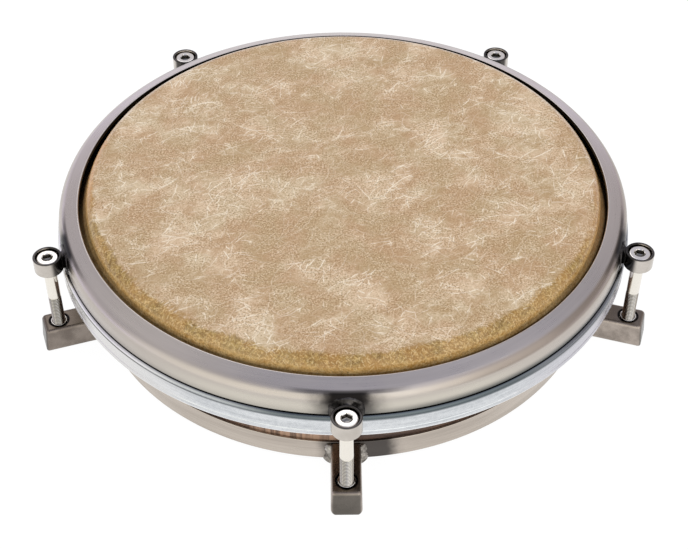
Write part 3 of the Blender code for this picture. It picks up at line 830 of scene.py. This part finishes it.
def hoop_finish():
    """Cast aluminium of the hoop: silver with fine streaks and specks, and a painted highlight at its lower
    edge.

    Painted light makes it warmer at the left and painted shade duller at the right. The rim shades its top
    edge, though not at the left, and at both sides a painted dark line of shade runs under that edge. Its
    top face is painted black, as shade in the groove under the rim.
    """
    f = Finish("hoop_aluminium")
    _, height, direction = f.polar()
    x = f.parts(direction)[0]
    left = f.span(x, -0.40, -0.75)
    right = f.span(x, 0.45, 0.80)
    aside = f.math("MAXIMUM", right, f.span(x, -0.10, -0.50))
    mottle = f.noise(430, 4, 0.7)
    streak = f.round_noise(9.0, 1100.0)
    broad = f.round_noise(3.0, 260.0)
    fine = f.math("ADD", f.times(mottle, 0.3), f.times(streak, 0.3))
    blend = f.math("ADD", fine, f.times(broad, 0.4))
    tone = f.mix(f.span(blend, 0.36, 0.62), colour(0.50, 0.52, 0.54), colour(0.74, 0.76, 0.775))
    # Painted highlight: near white along the lower edge.
    tone = f.mix(f.span(height, -0.0374, -0.0384, 0.0, 0.8), tone, colour(0.97, 0.97, 0.97))
    # Painted light: warmer and lighter at the left.
    tone = f.mix(f.times(left, 0.8), tone, colour(0.73, 0.71, 0.69))
    # Painted shade: duller and darker at the right.
    tone = f.mix(f.times(right, 0.7), tone, colour(0.50, 0.475, 0.53))

    depth = f.line(right, 0.0, 1.0, -0.0276, -0.0290)
    share = f.span(aside, 0.0, 1.0, 0.93, f.line(right, 0.0, 1.0, 0.45, 0.7))
    shaded = f.times(f.span(height, depth, -0.0258), share, f.span(left, 0.0, 1.0, 1.0, 0.0))
    tone = f.mix(shaded, tone, colour(0.075, 0.095, 0.105))
    # Painted shade: a dark line under the shaded top edge at both sides.
    at_sides = f.math("MAXIMUM", left, f.times(aside, 0.7))
    line = f.times(f.belt(height, -0.0256, -0.0259, -0.0264, -0.0268), at_sides)
    tone = f.mix(f.times(line, 0.9), tone, colour(0.04, 0.04, 0.04))
    # Painted shade: the top face, in the groove under the rim, is black.
    tone = f.mix(f.span(height, -0.0244, -0.0241), tone, colour(0.006, 0.006, 0.006))
    roughness = f.span(mottle, 0.3, 0.7, 0.2, 0.32)
    return f.shade(base_color=tone, metallic=1.0, roughness=roughness, normal=f.bump(blend, 0.15, 0.0002))


def bolt_finish():
    """Bright nickel, with painted shade in the socket and down the head's side inside the cup, duller on
    the thread, with painted shade in its valleys."""
    f = Finish("bolt_nickel")
    fine = f.noise(900, 3, 0.65)
    _, height, _ = f.polar()
    tone = f.mix(f.span(fine, 0.3, 0.7), colour(0.82, 0.78, 0.705), colour(0.845, 0.805, 0.73))
    thread = f.span(height, -0.0461, -0.0466)
    tone = f.mix(f.times(thread, 0.4), tone, colour(0.34, 0.315, 0.25))
    # Painted shade: dark in the thread's valleys.
    painted_shade_in_valleys = f.times(thread, f.span(f.from_bolt(), 0.0039, 0.0034))
    tone = f.mix(f.times(painted_shade_in_valleys, 0.85), tone, colour(0.11, 0.10, 0.075))
    # Painted shade: dark in the socket and down the head's side, inside the cup.
    painted_shade_in_cup = f.belt(height, -0.0150, -0.0157, -0.0210, -0.0214)
    tone = f.mix(f.times(painted_shade_in_cup, 0.7), tone, colour(0.03, 0.03, 0.03))
    return f.shade(base_color=tone, metallic=1.0, roughness=f.span(fine, 0.25, 0.75, 0.12, 0.15))


def nut_finish():
    """Zinc of the nuts: a faint cloud in its colour, fine grain in its roughness and relief."""
    f = Finish("nut_zinc")
    cloud = f.noise(60, 4, 0.6)
    fine = f.noise(700, 3, 0.65)
    tone = f.mix(f.span(cloud, 0.3, 0.7), colour(0.62, 0.59, 0.53), colour(0.76, 0.72, 0.65))
    roughness = f.span(fine, 0.25, 0.75, 0.15, 0.26)
    return f.shade(base_color=tone, metallic=1.0, roughness=roughness, normal=f.bump(fine, 0.06, 0.0002))


def cup_finish():
    """Nickel steel of the cups, with painted shade on the rings that look up and on the half towards the
    drum.
    """
    f = Finish("cup_nickel")
    cloud = f.noise(60, 4, 0.6)
    fine = f.noise(700, 3, 0.65)
    radius, _, _ = f.polar()
    tone = f.mix(f.span(cloud, 0.3, 0.7), colour(0.51, 0.47, 0.423), colour(0.625, 0.58, 0.528))
    # Painted shade: dark on the faces that look up.
    tone = f.mix(f.span(f.upwards(), 0.15, 0.65, 0.0, 0.9), tone, colour(0.04, 0.036, 0.034))
    # Painted shade: dark on the half towards the drum.
    tone = f.mix(f.span(radius, 0.1906, 0.1870, 0.0, 0.93), tone, colour(0.035, 0.032, 0.030))
    roughness = f.span(fine, 0.25, 0.75, 0.15, 0.25)
    return f.shade(base_color=tone, metallic=1.0, roughness=roughness, normal=f.bump(fine, 0.04, 0.0002))


def lug_finish():
    """Bracket steel, lighter on its sides, with painted shade on its top, on its front plate and on the
    lugs at the left, and painted black shade round the nut."""
    f = Finish("lug_steel")
    cloud = f.noise(90, 4, 0.6)
    fine = f.noise(420, 3, 0.6)
    _, _, direction = f.polar()
    tone = f.mix(f.span(cloud, 0.3, 0.7), colour(0.235, 0.20, 0.173), colour(0.43, 0.372, 0.325))
    # Painted shade: darker on the lugs at the left.
    painted_shade_at_left = f.span(f.parts(direction)[0], -0.3, -0.8, 0.0, 0.5)
    tone = f.mix(painted_shade_at_left, tone, colour(0.10, 0.08, 0.068))
    # Painted shade: the front plate is darkened.
    plate = f.span(f.outwards(direction), 0.55, 0.96, 0.0, 0.82)
    tone = f.mix(plate, tone, colour(0.090, 0.083, 0.073))
    # Painted shade: the top is darkened.
    top = f.span(f.upwards(), 0.55, 0.97, 0.0, 0.85)
    tone = f.mix(top, tone, colour(0.145, 0.116, 0.088))
    # Painted shade: black round the nut.
    tone = f.mix(f.span(f.from_bolt(), 0.0071, 0.0063), tone, colour(0.006, 0.005, 0.005))
    roughness = f.span(fine, 0.25, 0.75, 0.26, 0.32)
    return f.shade(base_color=tone, metallic=1.0, roughness=roughness, normal=f.bump(fine, 0.02, 0.0002))


def weld_finish(name, dark, light, pitch):
    """Weld metal: dark scale with brighter crests, lumpy."""
    f = Finish(name)
    lumps = f.noise(pitch, 4, 0.6, distortion=0.4)
    tone = f.mix(f.span(lumps, 0.35, 0.7), colour(*dark), colour(*light))
    roughness = f.span(lumps, 0.3, 0.7, 0.42, 0.25)
    return f.shade(base_color=tone, metallic=1.0, roughness=roughness, normal=f.bump(lumps, 0.5, 0.0009))


def wood_finish():
    """Stained plywood: long grain round the shell, painted light in a pale stretch left of the middle,
    mottled along it, bare inside, and with lines of glue between its plies on the foot's edge."""
    f = Finish("shell_wood")
    grain = f.round_noise(9.0, 420.0, 4.0)
    bands = f.round_noise(2.0, 60.0, 3.0)
    upright = f.round_noise(70.0, 12.0, 4.0)
    radius, height, direction = f.polar()
    x, _, _ = f.parts(direction)
    tone = f.mix(f.span(grain, 0.3, 0.72), colour(0.05, 0.027, 0.018), colour(0.24, 0.14, 0.09))
    tone = f.mix(f.span(bands, 0.35, 0.7, 0.0, 0.7), tone, colour(0.05, 0.03, 0.025))
    # Painted light: a pale stretch left of the middle, in front and behind.
    painted_light_left = f.times(f.belt(x, 0.02, -0.06, -0.24, -0.46), f.span(upright, 0.34, 0.60, 0.15, 1.0))
    tone = f.mix(f.times(painted_light_left, 0.9), tone, colour(0.50, 0.32, 0.215))
    ply = f.math("PINGPONG", f.math("SUBTRACT", radius, SHELL_INSIDE * MM), 0.00175)
    glue = f.times(f.span(ply, 0.00135, 0.00165), f.span(height, -0.0815, -0.0819))
    tone = f.mix(f.times(glue, 0.55), tone, colour(0.12, 0.06, 0.035))
    bare = f.times(f.span(radius, 0.1505, 0.1500), f.span(height, -0.0815, -0.0808))
    tone = f.mix(f.times(bare, 0.6), tone, colour(0.62, 0.44, 0.29))
    roughness = f.span(grain, 0.3, 0.7, 0.5, 0.62)
    return f.shade(base_color=tone, roughness=roughness, normal=f.bump(grain, 0.15, 0.0003))


# Assembly

film = film_finish()
rim_nickel = rim_finish()
hoop_aluminium = hoop_finish()
band_steel = band_finish()
lug_steel = lug_finish()
cup_nickel = cup_finish()
bolt_nickel = bolt_finish()
nut_zinc = nut_finish()
cup_weld = weld_finish("cup_weld", (0.014, 0.0125, 0.012), (0.088, 0.081, 0.077), 140)
bead = weld_finish("bead", (0.13, 0.116, 0.10), (0.46, 0.43, 0.39), 210)
wood = wood_finish()

add_piece("shell_wall", [wood_shell()], wood, "drum_body", "wood_shell")
add_piece("foot_band", [band_shell()], band_steel, "drum_body", "shell_band")
skin_of_head = add_piece("head_skin", [film_shell()], film, node="head_film")
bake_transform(skin_of_head)
add_piece("hoop_ring", [hoop_shell()], hoop_aluminium, "tuning_rim", "flesh_hoop")
add_piece("rim_ring", [rim_shell()], rim_nickel, "tuning_rim", "rim")

lug_shell = bracket_shell()
for number in range(1, LUG_COUNT + 1):
    cup = [round_the_drum(eyelet_shell(), number, BOLT_CIRCLE)]
    add_piece(f"cup_{number}", cup, cup_nickel, "tuning_rim", f"eyelet_{number}")
    seam = [round_the_drum(eyelet_weld_shell(number), number)]
    add_piece(f"cup_weld_{number}", seam, cup_weld, "tuning_rim", smooth_below=70)
    screw = [round_the_drum(bolt_shell(), number, BOLT_CIRCLE)]
    bolt = f"bolt_{number}"
    add_piece(f"screw_{number}", screw, bolt_nickel, bolt, f"tuning_bolt_{number}")
    bracket = [round_the_drum(lug_shell, number)]
    add_piece(f"bracket_{number}", bracket, lug_steel, "drum_body", f"lug_{number}")
    beads = [round_the_drum(bead_shell(side, 10 * number + side), number) for side in (-1, 1)]
    add_piece(f"bracket_weld_{number}", beads, bead, "drum_body", smooth_below=70)
    block = [round_the_drum(nut_shell(), number, BOLT_CIRCLE)]
    add_piece(f"nut_{number}", block, nut_zinc, "drum_body", f"lug_nut_{number}")


# Floor, light and camera


def floor_finish():
    """A pale floor that reads white where it is seen or mirrored, and takes a soft shadow."""
    f = Finish("floor")
    f.shade(base_color=colour(0.92, 0.92, 0.92), roughness=0.9)
    seen = f.add("LightPath", output="Is Camera Ray")
    mirrored = f.add("LightPath", output="Is Glossy Ray")
    through = f.add("LightPath", output="Is Transmission Ray")
    share = f.math("MAXIMUM", f.times(f.math("MAXIMUM", seen, through), 0.88), f.times(mirrored, 0.86))
    glow = f.add("Emission", {"Color": colour(1, 1, 1), "Strength": 1.08})
    mixed = f.add("MixShader", {0: share, 1: f.shader.outputs[0], 2: glow})
    f.join(f.tree.nodes["Material Output"].inputs["Surface"], mixed)
    return f.material


def floor_mesh():
    """A square at the height of the lugs' feet."""
    half, height = 12.0, FLOOR_HEIGHT * MM
    mesh = bpy.data.meshes.new("floor")
    corners = [(-half, -half, height), (half, -half, height), (half, half, height), (-half, half, height)]
    mesh.from_pydata(corners, [], [(0, 1, 2, 3)])
    mesh.materials.append(floor_finish())
    return mesh


def sky():
    """A white horizon that turns blue-grey overhead, brighter in front and most at the left of it, dull at
    the right, and paler high up at the left."""
    world = bpy.data.worlds.new("studio")
    world.use_nodes = True
    g = Graph(world.node_tree, "Generated")
    aside, across, up = g.parts(g.place)
    tone = g.mix(g.span(up, 0.0, 0.36), colour(1.20, 1.16, 1.46), colour(0.71, 0.68, 0.72))
    tone = g.mix(g.span(up, 0.3, 0.9), tone, colour(0.53, 0.55, 0.685))
    near = g.times(g.span(across, 0.0, -0.5), g.span(up, 0.85, 0.6))
    ahead = g.mix(g.span(aside, -0.35, 0.25), colour(1.46, 1.45, 1.36), colour(1.16, 1.16, 1.10))
    tone = g.mix(g.times(near, 0.9), tone, ahead)
    right = g.times(g.span(aside, 0.55, 0.85), g.span(up, 0.0, 0.12))
    tone = g.mix(g.times(right, 0.9), tone, colour(0.58, 0.545, 0.54))
    left = g.times(g.span(aside, -0.2, -0.45), g.span(across, 0.68, 0.4), g.span(up, 0.55, 0.75))
    tone = g.mix(g.times(left, 0.55), tone, colour(0.95, 0.92, 0.89))
    g.join(g.tree.nodes["Background"].inputs["Color"], tone)
    bpy.context.scene.world = world


def aim(thing, place, target):
    """Puts a lamp or the camera at a place and turns it towards a target."""
    thing.location = place
    thing.rotation_euler = (Vector(target) - Vector(place)).to_track_quat("-Z", "Y").to_euler()


def softbox(name, place, size, watts):
    """A square lamp, aimed at the middle of the drum."""
    light = bpy.data.lights.new(name, "AREA")
    light.size = size
    light.energy = watts
    aim(add_object(name, light), place, (0.0, 0.0, -0.03))


add_object("floor", floor_mesh())
sky()
softbox("key", (0.85, -0.85, 0.95), 1.9, 6.4)
softbox("top", (-0.25, 0.9, 1.3), 1.1, 4.0)

view = bpy.data.cameras.new("view")
view.sensor_width = 36.0
view.lens = 74.47
camera = add_object("view", view)
aim(camera, (-0.00705, -0.70062, 0.56905), (-0.0002, -0.07608, -0.0146))
bpy.context.scene.camera = camera
bpy.context.scene.view_settings.view_transform = "Standard"
